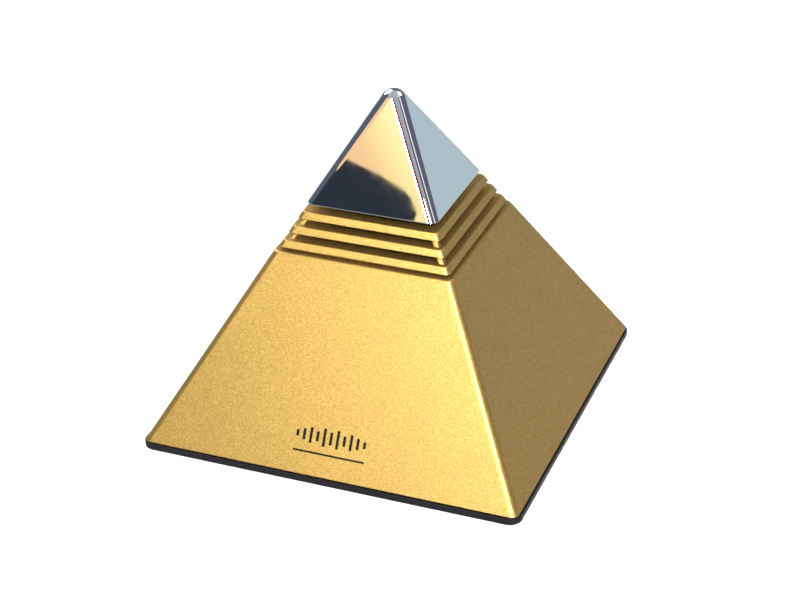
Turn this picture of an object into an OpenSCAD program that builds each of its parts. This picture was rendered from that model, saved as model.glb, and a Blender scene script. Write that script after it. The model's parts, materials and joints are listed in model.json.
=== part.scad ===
// Pyramid-shaped quartz talking clock. Pressing the plated tip makes it speak the time.
// Origin at the middle of the resting face, +Z up, printed front face towards -Y.

/* [Pyramid] */
// Width of the gold body across its foot
body_w = 104; // [103:0.5:105]
// Height at which the flat faces of the body would meet
apex_z = 94.5; // [94.25:0.25:94.75]
// Height of the foot of the gold body above the table
foot_z = 2.3; // [2.3:0.05:2.4]
// Height of the top edge of the gold body
body_top_z = 50.7; // [50.6:0.05:50.8]
// Corner radius of the gold body
body_r = 1.4; // [1.2:0.1:2]
// Wall thickness of the gold body, measured level
body_wall = 2.5; // [2.4:0.1:2.6]

/* [Louvres] */
// Height of the underside of the lowest louvre
louvre_z = 51.55; // [51.5:0.05:51.6]
// Height of each louvre's face
louvre_h = 1.8; // [1.6:0.05:1.85]
// Distance from one louvre to the next
louvre_pitch = 3.52; // [3.45:0.01:3.55]
// How far the louvres stand back from the body's faces
louvre_inset = 0.5; // [0.4:0.02:0.6]
// Depth of each louvre from its face to the hollow
louvre_depth = 3.9; // [3.8:0.1:4]
// How far the corner posts stand back from the louvres
post_inset = 1.3; // [1.2:0.1:1.5]
// Width of each corner post
post_w = 1.7; // [1.5:0.1:2.4]

/* [Tip] */
// Height of the lower edge of the plated cap
cap_z = 62.3; // [62.2:0.05:62.4]
// Overall height of the clock
tip_z = 90; // [89.7:0.1:90.3]
// Radius of the rounded tip
tip_r = 3.8; // [3.6:0.1:4]
// Corner radius of the cap at its lower edge
cap_r = 2.5; // [2.3:0.1:2.7]
// Wall thickness of the cap, measured level
cap_wall = 2.1; // [2:0.1:2.2]

/* [Base] */
// Width of the black base cover
base_w = 105; // [105:0.5:106]
// Corner radius of the base cover
base_r = 3.4; // [3:0.2:4]
// How far the rubber feet stand below the cover
feet_h = 0.5; // [0.4:0.05:0.55]
// Radius of each rubber foot
foot_r = 3.8; // [3.4:0.1:3.9]
// Distance of the feet from the centre, along X and Y
foot_at = 46.3; // [46.2:0.1:46.6]
// Distance of the case screws from the centre, along X and Y
case_screw_at = 40.5; // [40.4:0.1:40.6]
// Width of the battery door
door_w = 62; // [61.6:0.2:62.4]

/* [Battery] */
// Diameter of an AA cell
cell_d = 14.2; // [13.8:0.1:14.2]
// Length of an AA cell with its terminal
cell_l = 50.5; // [50.3:0.1:50.5]

/* [Hidden] */

$fn = 48;
hull_fn = 32;
arc_steps = 8;
thin = 0.01;
over = 1;

// Gaps: a press fit, a running fit, and a loose fit
tight = 0.02;
running = 0.06;
slack = 0.1;

// Screws: shank, the hole it cuts its thread in, and the hole it passes freely
screw_r = 1.1;
pilot_r = screw_r + tight;
clear_r = 1.4;
head_r = 2;
head_h = 1.3;

// Body
foot_half = body_w / 2;
run_per_rise = foot_half / (apex_z - foot_z);
boss_r = 3;
boss_z = 5.3;
boss_top_z = 26;
case_screw_tip_z = 13;
baffle_z = 41;
baffle_t = 2;
baffle_half = 28;
baffle_hole_r = 19.2;
collar_screw_at = 18.6;
collar_boss_r = 2.4;
collar_screw_tip_z = 50.5;
lead_hole = [25.2, 0];
lead_hole_r = 1.2;

// Louvre collar
louvre_count = 3;
louvre_r = 1.4;
deck_z = louvre_z + (louvre_count - 1) * louvre_pitch;
deck_top_z = deck_z + louvre_h;
post_r = 0.7;
spigot_half = 21.7;
spigot_wall = 1.6;
spigot_z = 45.3;
guide_boss_r = 5.9;
guide_z = 54;
spring_seat_z = 57.5;
spring_seat_r = 4.9;
pin_at = 9.5;
pin_r = 1.5;
screen_r = 21;
screen_t = 0.4;

// Tip
cap_half = half_at(cap_z);
cap_drop = tip_z - tip_r - cap_z;
cap_lean = atan(cap_half / cap_drop) - asin(tip_r / norm([cap_half, cap_drop]));
socket_z = 66;
socket_top_z = 84;
socket_r = 4;
peg_r = 2.5;
peg_top_z = 73;
plunger_z = 63.6;
plunger_t = 1.4;
plunger_half = 13.5;
stem_r = 3;
stem_z = plunger_z - 11.2;
clip_z = 53.4;
clip_t = 0.5;
clip_groove_r = 2.2;
clip_r = 4.6;
wire_r = 0.35;
spring_r = 4.2;
return_turns = 5;

// Tip switch
board_post_at = 9;
board_post_r = 1.6;
stake_r = 0.8;
stake_h = 0.8;
switch_board_z = 48;
switch_board_top_z = 49.2;
switch_dome_r = 4.2;

// Speaker, hung under the baffle
flange_r = 23.5;
flange_in_r = 19.6;
flange_t = 1.2;
flange_z = baffle_z - slack - flange_t;
speaker_screw_at = 25.3;
speaker_screw_angles = [20, 160, 200, 340];
speaker_post_r = 1.7;
washer_r = 2.9;
basket_z = 31;
basket_top_r = 19.6;
basket_t = 0.8;
basket_window_at = 12;
basket_window_w = 13;
top_plate_z = 29.6;
magnet_z = 23.6;
yoke_z = 22.4;
magnet_r = 14.5;
magnet_hole_r = 8;
gap_r = 4.6;
pole_r = 3.6;
coil_r = 4.3;
coil_t = 0.4;
coil_z = 26.5;
cone_z = 33;
cone_top_z = 39.3;
cone_r = 17;
cone_t = 0.45;
cone_rise = (cone_top_z - cone_z) / (cone_r - coil_r);
dust_cap_r = 6;
surround_t = 0.3;
terminal_y = -22;
terminal_t = 0.8;

// Base cover
base_half = base_w / 2;
base_z = feet_h;
base_rim_z = 2.15;
base_floor_z = 2.7;
tongue_half = 47.6;
tongue_t = 1.4;
tongue_z = 5;
screw_seat_z = 3;
foot_seat_t = 0.6;
door_y = 3.2;
door_z = base_z;
door_top_z = 2;
door_gap = 0.2;
rail_reach = 1.3;
rail_z = 1.1;
rail_h = 0.5;
rail_gap = 0.1;
grip_count = 5;
grip_y = 40;
grip_pitch = 1.6;
grip_w = 16;
grip_depth = 0.4;

// Battery bay
bay_half_x = 28.5;
bay_l = 31;
bay_mid_y = 22.1;
bay_roof_z = 17.2;
bay_wall = 1.1;
bay_top_z = bay_roof_z + bay_wall;
cell_z = 9.6;
cell_y = [14.3, 29.8];
nub_r = 2.75;
nub_l = 1.2;
contact_x = 27.9;
contact_t = 0.4;
contact_w = 11.6;
contact_top_z = 15.4;
tab_w = 3;
tab_top_z = 20.4;
tab_y = [11, 27];
spring_turns = 3;

// Display, keys and switches
board_z = 8.3;
board_top_z = 9.9;
board_half_x = 42;
board_y = [-43, 3];
board_notch = 7;
board_screw_at = [[-38, -3], [38, -3], [-38, -29], [38, -29]];
board_screw_tip_z = 4.5;
board_boss_r = 2.4;
lcd_y = -22;
lcd_w = 46;
lcd_h = 19;
lcd_z = 3;
lcd_t = 2;
reflector_t = 0.4;
view_w = 40;
view_h = 14;
window_w = 44;
window_h = 17;
window_z = 1.3;
window_proud = 0.4;
zebra_w = 2.2;
key_y = -38.6;
key_x = [-24, -8, 8, 24];
key_r = 2.9;
key_gap = 0.25;
key_flange_r = 3.8;
key_z = 0.9;
key_flange_z = 2.8;
key_top_z = 4;
key_guide_r = 4.9;
key_guide_z = 4.3;
dome_r = 4.2;
switch_y = -6;
switch_x = [-17, 17];
switch_travel = 3;
knob_w = 4.4;
knob_d = 3;
can_w = 13;
can_d = 5.4;
can_z = 5;
knob_stem_w = 2;
knob_stem_z = 6;

// Loose wires inside the case, each a list of points from end to end
lead_r = 0.45;
lead_end_z = board_top_z + running;
speaker_route = [
    [2.4, terminal_y, flange_z - terminal_t - running], [2.4, -22.1, 37.4], [2.8, -22.8, 35], [4, -24, 30],
    [6, -25.5, 22], [6.4, -25, 15],
    [6.4, -24.6, 12], [6.4, -24.6, lead_end_z]
];
switch_route = [
    [5, 0, switch_board_z - running], [5, 0, 46.6], [7, 0, 45.3], [11, 0, 44.7], [18, 0, 44.3],
    [23, 0, 44.1], [25.1, 0, 42.6], [25.2, 0, 40], [26.4, 0, 35], [30, 0, 27], [33, -1, 19],
    [33.4, -3, 14], [33.4, -3.4, 11.8], [33.4, -3.4, lead_end_z]
];
positive_route = [
    [28.1, 9.4, 20], [28, 7.4, 20.2], [27.7, 5, 19.5], [27.3, 3, 16.6], [26.8, 1.4, 13.4],
    [26.6, 0.6, 11.6], [26.6, 0.6, lead_end_z]
];
negative_route = [
    [28.1, 25.4, 20], [28, 23.4, 20.2], [27, 20.6, 20.3], [25.5, 16, 19.9], [23.6, 8, 19.9],
    [22.8, 5.2, 19.5], [22.3, 3.2, 16.8], [21.9, 1.4, 13.4], [21.8, 0.6, 11.6], [21.8, 0.6, lead_end_z]
];

// Half-width of the pyramid at a height, measured to a plane set back by inset
function half_at(z, inset = 0) = run_per_rise * (apex_z - z) - inset;

// Outline of a rectangle with round corners, centred on the origin
function rounded(half_x, half_y, r) = [
    for (q = [0:3])
        for (k = [0:arc_steps])
            let (a = 90 * (q + k / arc_steps))
            let (sx = q == 0 || q == 3 ? 1 : -1, sy = q < 2 ? 1 : -1)
            [sx * (half_x - r) + r * cos(a), sy * (half_y - r) + r * sin(a)]
];

// Points along a smooth curve through the given points
function curve_point(p, i, t) =
    let (a = p[max(i - 1, 0)], b = p[i], c = p[i + 1], d = p[min(i + 2, len(p) - 1)])
    0.5 * (2 * b + t * (c - a) + t * t * (2 * a - 5 * b + 4 * c - d) + t * t * t * (3 * b - a - 3 * c + d));
function smooth(p, steps = 4) = concat(
    [for (i = [0:len(p) - 2]) for (k = [0:steps - 1]) curve_point(p, i, k / steps)],
    [p[len(p) - 1]]
);
function unit(v) = v / norm(v);
function tangent(p, i) = unit(p[min(i + 1, len(p) - 1)] - p[max(i - 1, 0)]);
function across(v, t) = unit(v - (v * t) * t);
function first_normal(t) = across(abs(t.x) < 0.8 ? [1, 0, 0] : [0, 1, 0], t);
function normals(p) = [
    for (
        i = 0, n = first_normal(tangent(p, 0));
        i < len(p);
        i = i + 1, n = across(n, tangent(p, min(i, len(p) - 1)))
    ) n
];
function helix(r0, r1, z0, z1, turns, steps = 16) = [
    for (i = [0:turns * steps])
        let (s = i / (turns * steps), a = 360 * i / steps, r = r0 + (r1 - r0) * s)
        [r * cos(a), r * sin(a), z0 + (z1 - z0) * s]
];

// Round tube along a list of points
module tube(path, r, sides = 8) {
    n = normals(path);
    last = len(path) - 1;
    points = [
        for (i = [0:last])
            for (k = [0:sides - 1])
                let (t = tangent(path, i), a = 360 * k / sides)
                path[i] + r * (cos(a) * n[i] + sin(a) * cross(t, n[i]))
    ];
    walls = [
        for (i = [0:last - 1])
            for (k = [0:sides - 1])
                let (a = i * sides + k, b = i * sides + (k + 1) % sides)
                each [[a, a + sides, b + sides], [a, b + sides, b]]
    ];
    start = [for (k = [0:sides - 1]) k];
    end = [for (k = [sides - 1:-1:0]) last * sides + k];
    polyhedron(points, concat([start], walls, [end]));
}

// Box with rounded corners between two heights, centred on Z
module block(half_x, half_y, r, z0, z1) {
    translate([0, 0, z0])
        linear_extrude(z1 - z0)
            polygon(rounded(half_x, half_y, r));
}

// Plain box between two heights, centred on the given point
module box(at, size, z0, z1) {
    translate([at.x - size.x / 2, at.y - size.y / 2, z0])
        cube([size.x, size.y, z1 - z0]);
}

// Upright cylinder between two heights
module rod(at, r, z0, z1) {
    translate([at.x, at.y, z0])
        cylinder(r = r, h = z1 - z0);
}

module in_corners(at) {
    for (x = [-at, at], y = [-at, at])
        translate([x, y, 0])
            children();
}

// Slice of the pyramid with rounded corners, its faces set back by inset
module slice(z0, z1, inset, r) {
    hull()
        for (z = [z0, z1 - thin])
            let (half = half_at(z, inset))
                block(half, half, r, z, z + thin);
}

// Pan-head screw with its shank pointing up from the seat
module screw(seat_z, tip_z, head = head_r) {
    rod([0, 0], head, seat_z - head_h, seat_z);
    rod([0, 0], screw_r, seat_z - thin, tip_z);
}

// ---- Casing ----

module body_shell() {
    color("goldenrod")
        difference() {
            union() {
                difference() {
                    slice(foot_z, body_top_z, 0, body_r);
                    slice(foot_z - over, body_top_z + over, body_wall, body_r);
                }
                intersection() {
                    slice(boss_z, boss_top_z, body_wall / 2, body_r);
                    in_corners(case_screw_at)
                        rod([0, 0], boss_r, boss_z, boss_top_z);
                }
                block(baffle_half, baffle_half, body_r, baffle_z, baffle_z + baffle_t);
                at_speaker_screws()
                    rod([0, 0], speaker_post_r, flange_z, baffle_z + thin);
            }
            rod([0, 0], baffle_hole_r, baffle_z - over, baffle_z + baffle_t + over);
            rod(lead_hole, lead_hole_r, baffle_z - over, baffle_z + baffle_t + over);
            in_corners(case_screw_at)
                rod([0, 0], pilot_r, boss_z - over, case_screw_tip_z + slack);
            in_corners(collar_screw_at)
                rod([0, 0], clear_r, baffle_z - over, baffle_z + baffle_t + over);
            at_speaker_screws()
                rod([0, 0], pilot_r, flange_z - over, baffle_z + baffle_t + over);
        }
}

module louvre_collar() {
    color("goldenrod")
        difference() {
            union() {
                for (i = [0:louvre_count - 1])
                    louvre(i);
                collar_posts();
                difference() {
                    block(spigot_half, spigot_half, body_r, spigot_z, louvre_z + thin);
                    spigot_hollow = spigot_half - spigot_wall;
                    block(spigot_hollow, spigot_hollow, 1, spigot_z - over, louvre_z + over);
                }
                in_corners(collar_screw_at)
                    rod([0, 0], collar_boss_r, baffle_z + baffle_t, louvre_z + louvre_h / 2);
                rod([0, 0], guide_boss_r, guide_z, deck_z + thin);
                for (y = [-board_post_at, board_post_at]) {
                    rod([0, y], board_post_r, switch_board_top_z, deck_z + thin);
                    rod([0, y], stake_r, switch_board_z - stake_h, switch_board_top_z + thin);
                }
            }
            in_corners(collar_screw_at)
                rod([0, 0], pilot_r, baffle_z, collar_screw_tip_z + slack);
            rod([0, 0], stem_r + running, guide_z - over, deck_top_z + over);
            rod([0, 0], spring_seat_r, spring_seat_z, deck_top_z + over);
            for (x = [-pin_at, pin_at])
                rod([x, 0], pin_r + running, deck_z - over, deck_top_z + over);
        }
}

// One louvre; the top one is closed and forms the deck under the cap
module louvre(i) {
    z = louvre_z + i * louvre_pitch;
    hollow = half_at(z + louvre_h, louvre_inset + louvre_depth);
    difference() {
        slice(z, z + louvre_h, louvre_inset, louvre_r);
        if (i < louvre_count - 1)
            block(hollow, hollow, 1, z - over, z + louvre_h + over);
    }
}

// Corner posts that carry the louvres, set back behind their faces
module collar_posts() {
    intersection() {
        slice(louvre_z, deck_top_z - thin, louvre_inset + post_inset, post_r);
        for (i = [0:louvre_count - 2])
            let (z = louvre_z + (i + 1) * louvre_pitch)
                let (inner = half_at(z, louvre_inset + post_inset) - post_w)
                    for (x = [0, 1], y = [0, 1])
                        mirror([x, 0, 0])
                            mirror([0, y, 0])
                                translate([inner, inner, z - louvre_pitch + louvre_h - slack])
                                    cube([foot_half, foot_half, louvre_pitch - louvre_h + 2 * slack]);
    }
}

module sound_screen() {
    color("black")
        rod([0, 0], screen_r, baffle_z + baffle_t, baffle_z + baffle_t + screen_t);
}

module collar_screws() {
    color("silver")
        in_corners(collar_screw_at)
            screw(baffle_z, collar_screw_tip_z);
}

// ---- Speaking tip ----

module cap_form() {
    hull() {
        block(cap_half, cap_half, cap_r, cap_z, cap_z + thin);
        translate([0, 0, tip_z - tip_r])
            sphere(tip_r, $fn = hull_fn);
    }
}

module tip_cap() {
    color("gainsboro")
        difference() {
            union() {
                difference() {
                    cap_form();
                    translate([0, 0, -cap_wall / tan(cap_lean)])
                        cap_form();
                }
                rod([0, 0], socket_r, socket_z, socket_top_z);
            }
            rod([0, 0], peg_r + tight, socket_z - over, peg_top_z + slack);
        }
}

module tip_plunger() {
    color("dimgray")
        difference() {
            union() {
                block(plunger_half, plunger_half, 2, plunger_z, plunger_z + plunger_t);
                rod([0, 0], socket_r, plunger_z + plunger_t - thin, socket_z);
                rod([0, 0], peg_r, socket_z - thin, peg_top_z);
                rod([0, 0], stem_r, stem_z, plunger_z + thin);
                for (x = [-pin_at, pin_at])
                    rod([x, 0], pin_r, deck_z + slack, plunger_z + thin);
            }
            difference() {
                rod([0, 0], stem_r + over, clip_z, clip_z + clip_t);
                rod([0, 0], clip_groove_r, clip_z - over, clip_z + clip_t + over);
            }
        }
}

// Open ring snapped into the stem's groove, which keeps the tip from pulling out
module plunger_clip() {
    color("silver")
        difference() {
            rod([0, 0], clip_r, clip_z + tight, clip_z + clip_t - tight);
            rod([0, 0], clip_groove_r + tight, clip_z - over, clip_z + clip_t + over);
            box([0, -clip_r], [2 * clip_groove_r - 0.4, 2 * clip_r], clip_z - over, clip_z + clip_t + over);
        }
}

module return_spring() {
    low = spring_seat_z + wire_r;
    high = plunger_z - wire_r - 0.05;
    color("silver")
        tube(helix(spring_r, spring_r, low, high, return_turns), wire_r);
}

module switch_board() {
    color("darkgreen")
        difference() {
            block(6, board_post_at + 3, 1, switch_board_z, switch_board_top_z);
            for (y = [-board_post_at, board_post_at])
                rod([0, y], stake_r + 0.1, switch_board_z - over, switch_board_top_z + over);
        }
}

module switch_dome() {
    color("white")
        dome(switch_dome_r, switch_board_top_z, stem_z - 0.05, 1);
}

// Hollow rubber dome between two heights; up is 1 when its plunger is at the top
module dome(r, z0, z1, up) {
    h = z1 - z0;
    skirt = 0.6;
    translate([0, 0, up > 0 ? z0 : z1])
        mirror([0, 0, up > 0 ? 0 : 1])
            rotate_extrude()
                polygon([
                    [r - 1.6, 0], [r, 0], [r, skirt], [r - 0.9, skirt], [r * 0.5, h * 0.6], [r * 0.5, h],
                    [0, h], [0, h * 0.6], [r * 0.35, h * 0.5]
                ]);
}

// ---- Speaker ----

module at_speaker_screws() {
    for (a = speaker_screw_angles)
        rotate(a)
            translate([speaker_screw_at, 0, 0])
                children();
}

module speaker_screws() {
    color("silver")
        at_speaker_screws()
            screw(flange_z, baffle_z + baffle_t - 0.2, washer_r);
}

module speaker_frame() {
    color("slategray")
        difference() {
            rotate_extrude()
                polygon([
                    [flange_in_r, flange_z + flange_t], [flange_r, flange_z + flange_t], [flange_r, flange_z],
                    [basket_top_r + basket_t, flange_z], [magnet_r, basket_z + basket_t],
                    [magnet_r, basket_z], [gap_r + 1, basket_z], [gap_r + 1, basket_z + basket_t],
                    [magnet_r - basket_t, basket_z + basket_t], [flange_in_r, flange_z]
                ]);
            for (a = [45:90:315])
                rotate(a)
                    translate([basket_window_at, -basket_window_w / 2, basket_z + 2])
                        cube([flange_r, basket_window_w, flange_z - basket_z - 3.5]);
        }
}

module speaker_top_plate() {
    color("silver")
        ring(gap_r, magnet_r, top_plate_z, basket_z);
}

module speaker_magnet() {
    color("dimgray")
        ring(magnet_hole_r, magnet_r, magnet_z, top_plate_z);
}

module speaker_yoke() {
    color("silver")
        union() {
            rod([0, 0], magnet_r, yoke_z, magnet_z);
            rod([0, 0], pole_r, magnet_z - thin, basket_z);
        }
}

module ring(r_in, r_out, z0, z1) {
    difference() {
        rod([0, 0], r_out, z0, z1);
        rod([0, 0], r_in, z0 - over, z1 + over);
    }
}

module voice_coil() {
    color("peru")
        ring(coil_r - coil_t, coil_r, coil_z, cone_z);
}

module speaker_cone() {
    color("black")
        rotate_extrude()
            polygon([
                [coil_r - coil_t, cone_z], [coil_r, cone_z], [cone_r, cone_top_z],
                [cone_r, cone_top_z + cone_t], [cone_r - 0.3, cone_top_z + cone_t],
                [coil_r - coil_t, cone_z + cone_t]
            ]);
}

// Paper dome glued on the cone over the voice coil
module speaker_dust_cap() {
    rise = 2;
    r = (pow(dust_cap_r, 2) + pow(rise, 2)) / (2 * rise);
    base = cone_z + cone_t + (dust_cap_r - coil_r + coil_t) * cone_rise;
    color("black")
        translate([0, 0, base + 0.02])
            intersection() {
                translate([0, 0, rise - r])
                    difference() {
                        sphere(r);
                        sphere(r - cone_t);
                    }
                rod([0, 0], dust_cap_r, 0, rise + over);
            }
}

// Half-roll of cloth between the cone's edge and the frame
module speaker_surround() {
    outer_r = flange_in_r - tight;
    mid = (cone_r + outer_r) / 2;
    roll = (outer_r - cone_r) / 2;
    z = cone_top_z + cone_t;
    color("black")
        rotate_extrude()
            translate([mid, z])
                difference() {
                    circle(roll);
                    circle(roll - surround_t);
                    translate([-2 * roll, -2 * roll])
                        square([4 * roll, 2 * roll]);
                }
}

module speaker_terminals() {
    color("tan")
        box([0, terminal_y], [9, 2.2], flange_z - terminal_t, flange_z);
}

// ---- Base ----

module base_cover() {
    color("darkslategray")
        difference() {
            union() {
                block(base_half, base_half, base_r, base_z, base_rim_z);
                block(tongue_half, tongue_half, 2, base_rim_z - thin, base_floor_z);
                difference() {
                    tongue_hollow = tongue_half - tongue_t;
                    block(tongue_half, tongue_half, 2, base_floor_z - thin, tongue_z);
                    block(tongue_hollow, tongue_hollow, 1, base_floor_z - over, tongue_z + over);
                }
                in_corners(case_screw_at)
                    rod([0, 0], boss_r, base_floor_z - thin, boss_z - slack);
                bay_box();
                for (p = board_screw_at)
                    rod(p, board_boss_r, base_floor_z - thin, board_z);
                for (x = key_x)
                    translate([x, key_y, 0])
                        ring(key_flange_r + key_gap, key_guide_r, base_floor_z - thin, key_guide_z);
            }
            bay_hollow();
            door_way();
            window_way();
            for (x = key_x)
                key_way(x);
            for (x = switch_x)
                knob_way(x);
            in_corners(case_screw_at) {
                rod([0, 0], head_r + 0.2, base_z - over, screw_seat_z);
                rod([0, 0], clear_r, base_z, boss_z + over);
            }
            for (p = board_screw_at)
                rod(p, pilot_r, board_screw_tip_z - slack, board_z + over);
            in_corners(foot_at)
                rod([0, 0], foot_r + slack, base_z - over, base_z + foot_seat_t);
        }
}

module bay_box() {
    size = [2 * (bay_half_x + bay_wall), bay_l + 2 * bay_wall];
    box([0, bay_mid_y], size, base_floor_z - thin, bay_top_z);
}

module bay_hollow() {
    box([0, bay_mid_y], [2 * bay_half_x, bay_l], base_z - over, bay_roof_z);
    for (y = tab_y)
        box([contact_x + contact_t / 2, y], [1, tab_w + 0.4], bay_roof_z - over, bay_top_z + over);
}

// Slot in which the battery door slides in from the rear edge
module door_way() {
    width = door_w + 2 * door_gap;
    rail_width = door_w + 2 * (rail_reach + rail_gap);
    length = base_half + over - door_y + door_gap;
    middle = door_y - door_gap + length / 2;
    box([0, middle], [width, length], base_z - over, door_top_z + slack);
    box([0, middle], [rail_width, length], rail_z - rail_gap, rail_z + rail_h + rail_gap);
    box([0, base_half], [width, 2 * (base_half - tongue_half)], base_z - over, base_rim_z + over);
}

module window_way() {
    box([0, lcd_y], [view_w, view_h], base_z - over, base_floor_z + over);
    box([0, lcd_y], [window_w, window_h], window_z, base_floor_z + over);
}

module key_way(x) {
    rod([x, key_y], key_r + key_gap, base_z - over, base_floor_z + over);
}

module knob_way(x) {
    size = [knob_w + switch_travel + 0.6, knob_d + 0.6];
    box([x + switch_travel / 2, switch_y], size, base_z - over, base_floor_z + over);
}

module battery_door() {
    length = base_half - door_y;
    middle = door_y + length / 2;
    rail_size = [door_w + 2 * rail_reach, length - 4];
    grip_size = [grip_w, grip_pitch / 2];
    color("darkslategray")
        difference() {
            union() {
                box([0, middle], [door_w, length], door_z, door_top_z);
                box([0, middle - 2], rail_size, rail_z, rail_z + rail_h);
            }
            for (i = [0:grip_count - 1])
                box([0, grip_y + i * grip_pitch], grip_size, door_z - over, door_z + grip_depth);
        }
}

module rubber_feet() {
    color("dimgray")
        in_corners(foot_at)
            rod([0, 0], foot_r, 0, base_z + foot_seat_t);
}

module case_screws() {
    color("silver")
        in_corners(case_screw_at)
            screw(screw_seat_z, case_screw_tip_z);
}

// ---- Batteries ----

// AA cell lying along X with its positive end at +X
module cell() {
    body = cell_l - nub_l;
    rotate([0, 90, 0]) {
        translate([0, 0, -cell_l / 2])
            cylinder(d = cell_d, h = body);
        translate([0, 0, -cell_l / 2 + body - thin])
            cylinder(r = nub_r, h = nub_l + thin);
    }
}

module battery_1() {
    color("steelblue")
        translate([contact_x - cell_l / 2, cell_y[0], cell_z])
            cell();
}

module battery_2() {
    color("steelblue")
        translate([-contact_x + cell_l / 2, cell_y[1], cell_z])
            mirror([1, 0, 0])
                cell();
}

module contact_plate(x, y) {
    box([x, y], [contact_t, contact_w], cell_z - contact_w / 2, contact_top_z);
}

// Tapered contact spring growing along +X from its plate
module contact_spring(x, y) {
    gap = 2 * contact_x - cell_l;
    translate([x, y, cell_z])
        rotate([0, 90, 0])
            tube(helix(4.6, 2.8, 0, gap - wire_r - 0.02, spring_turns), wire_r);
}

module positive_contact() {
    color("silver")
        union() {
            contact_plate(contact_x + contact_t / 2, cell_y[0]);
            box([contact_x + contact_t / 2, tab_y[0]], [contact_t, tab_w], contact_top_z - thin, tab_top_z);
        }
}

module negative_contact() {
    color("silver")
        union() {
            contact_plate(contact_x + contact_t / 2, cell_y[1]);
            box([contact_x + contact_t / 2, tab_y[1]], [contact_t, tab_w], contact_top_z - thin, tab_top_z);
            mirror([1, 0, 0])
                contact_spring(-contact_x, cell_y[1]);
        }
}

module series_contact() {
    middle = (cell_y[0] + cell_y[1]) / 2;
    color("silver")
        union() {
            for (y = cell_y)
                contact_plate(-contact_x - contact_t / 2, y);
            box([-contact_x - contact_t / 2, middle], [contact_t, contact_w], cell_z - 2, cell_z + 2);
            contact_spring(-contact_x, cell_y[0]);
        }
}

// ---- Display ----

module lcd_window() {
    color("lightblue", 0.5)
        union() {
            box([0, lcd_y], [window_w - 0.2, window_h - 0.2], window_z, base_floor_z - 0.1);
            box([0, lcd_y], [view_w - 0.2, view_h - 0.2], window_z - window_proud, window_z + thin);
        }
}

module lcd_glass() {
    color("lightgray")
        box([0, lcd_y], [lcd_w, lcd_h], lcd_z, lcd_z + lcd_t - reflector_t);
}

module lcd_reflector() {
    color("silver")
        box([0, lcd_y], [lcd_w, lcd_h], lcd_z + lcd_t - reflector_t, lcd_z + lcd_t);
}

module lcd_holder() {
    color("white")
        difference() {
            box([0, lcd_y], [lcd_w + 4, lcd_h + 4], base_floor_z, board_z);
            box([0, lcd_y], [lcd_w + 0.2, lcd_h + 0.2], base_floor_z - over, lcd_z + lcd_t + 0.1);
            box([0, lcd_y], [lcd_w - 2, lcd_h + 0.2], lcd_z, board_z + over);
        }
}

module zebra_strips() {
    color("hotpink")
        for (s = [-1, 1])
            box([0, lcd_y + s * (lcd_h - zebra_w) / 2], [lcd_w - 3, zebra_w], lcd_z + lcd_t, board_z);
}

// ---- Main board ----

module main_board() {
    mid_y = (board_y[0] + board_y[1]) / 2;
    color("darkgreen")
        difference() {
            box([0, mid_y], [2 * board_half_x, board_y[1] - board_y[0]], board_z, board_top_z);
            for (x = [-board_half_x, board_half_x])
                box([x, board_y[0]], [2 * board_notch, 2 * board_notch], board_z - over, board_top_z + over);
            for (p = board_screw_at)
                rod(p, clear_r, board_z - over, board_top_z + over);
        }
}

module board_screws() {
    color("silver")
        for (p = board_screw_at)
            translate([p.x, p.y, board_top_z])
                mirror([0, 0, 1])
                    screw(0, board_top_z - board_screw_tip_z);
}

// Flat chip with legs along its two long sides
module chip(at, size, legs) {
    step = size.x / legs;
    box(at, size, board_top_z + 0.3, board_top_z + 2.4);
    for (s = [-1, 1], i = [0:legs - 1])
        box(
            [at.x - size.x / 2 + (i + 0.5) * step, at.y + s * (size.y / 2 + 0.4)],
            [step / 2, 1.2], board_top_z, board_top_z + 0.9
        );
}

module speech_chip() {
    color("black")
        chip([-14, -18], [18, 8], 14);
}

module memory_chip() {
    color("black")
        chip([18, -16], [12, 8], 8);
}

module clock_chip() {
    color("black")
        resin_drop([-2, -33], 5, 1.8);
}

// Round drop of black resin over a bare chip
module resin_drop(at, r, h) {
    ball = (r * r + h * h) / (2 * h);
    translate([at.x, at.y, board_top_z])
        intersection() {
            translate([0, 0, h - ball])
                sphere(ball);
            rod([0, 0], r, 0, h + over);
        }
}

module crystal() {
    color("silver")
        translate([16, -33, board_top_z + 1.2])
            rotate([0, 90, 0])
                cylinder(r = 1.1, h = 7);
}

module capacitors() {
    color("midnightblue")
        for (p = [[-31, -10, 3], [-31, -19, 3], [30, -20, 2.5]])
            rod([p.x, p.y], p.z, board_top_z, board_top_z + 8);
}

module transistors() {
    color("black")
        for (x = [-12, -4, 4])
            intersection() {
                rod([x, -4], 2.3, board_top_z + 1, board_top_z + 5.5);
                box([x, -3.4], [6, 4], board_top_z + 1, board_top_z + 5.5);
            }
}

module board_passives() {
    color("tan")
        for (i = [0:7])
            box([-24 + i * 3.4, -8.6], [1.6, 3], board_top_z, board_top_z + 0.8);
}

// ---- Keys and switches ----

module key(x) {
    color("gray")
        union() {
            rod([x, key_y], key_r, key_z, key_flange_z + thin);
            rod([x, key_y], key_flange_r, key_flange_z, key_top_z);
        }
}

module key_dome(x) {
    color("white")
        translate([x, key_y, 0])
            dome(dome_r, key_top_z + 0.05, board_z, -1);
}

module switch_body(x) {
    color("silver")
        difference() {
            box([x + switch_travel / 2, switch_y], [can_w, can_d], can_z, board_z);
            box(
                [x + switch_travel / 2, switch_y], [switch_travel + knob_stem_w + 0.6, knob_stem_w + 0.6],
                can_z - over, knob_stem_z + 0.4
            );
        }
}

module switch_knob(x) {
    color("gray")
        union() {
            box([x, switch_y], [knob_w, knob_d], key_z, can_z - 0.3);
            box([x, switch_y], [knob_stem_w, knob_stem_w], can_z - 0.3 - thin, knob_stem_z);
        }
}

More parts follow.
